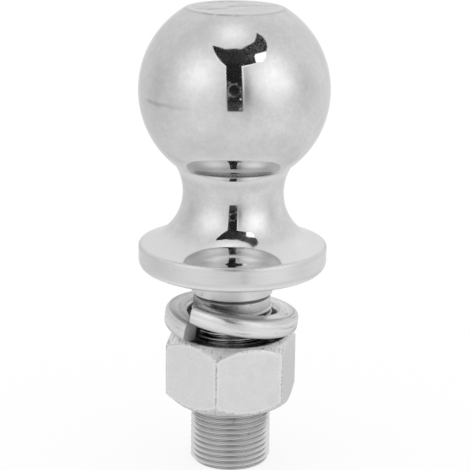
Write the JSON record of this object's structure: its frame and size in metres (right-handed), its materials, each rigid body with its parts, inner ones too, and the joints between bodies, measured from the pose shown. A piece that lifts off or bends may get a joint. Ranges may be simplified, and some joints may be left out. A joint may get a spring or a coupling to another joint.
{
  "type": "threaded tow ball",
  "caption": "Tow ball on a waisted neck and round flange, with a threaded shank, spring lock washer and hex nut.",
  "frame": {"origin": "centre of the shank's flat lower end, which the part stands on", "axes": "+Z along the shank's axis, up through the ball; -Y is the front, where one nut corner is 12.3 degrees to the left"},
  "size_m": [0.0588, 0.0588, 0.1452],
  "materials": {
    "chrome_plate": "polished plate",
    "zinc_washer": "satin zinc plate",
    "zinc_nut": "satin zinc plate"
  },
  "bodies": {
    "ball_body": {"tow_ball": "chrome_plate"},
    "washer_body": {"lock_washer": "zinc_washer"},
    "nut_body": {"hex_nut": "zinc_nut"}
  },
  "joints": [
    {"name": "washer_slide", "type": "slide", "parent": "ball_body", "child": "washer_body", "axis": [0, 0, 1], "range_m": [-0.03991, 0.00726]},
    {"name": "nut_turn", "type": "hinge", "parent": "washer_body", "child": "nut_body", "pos_m": [0, 0, 0.0317], "axis": [0, 0, 1], "range_deg": [-7920, 1440]}
  ],
  "couplings": [
    {"joint": "washer_slide", "follows": "nut_turn", "m_per_rad": 0.00028871}
  ]
}
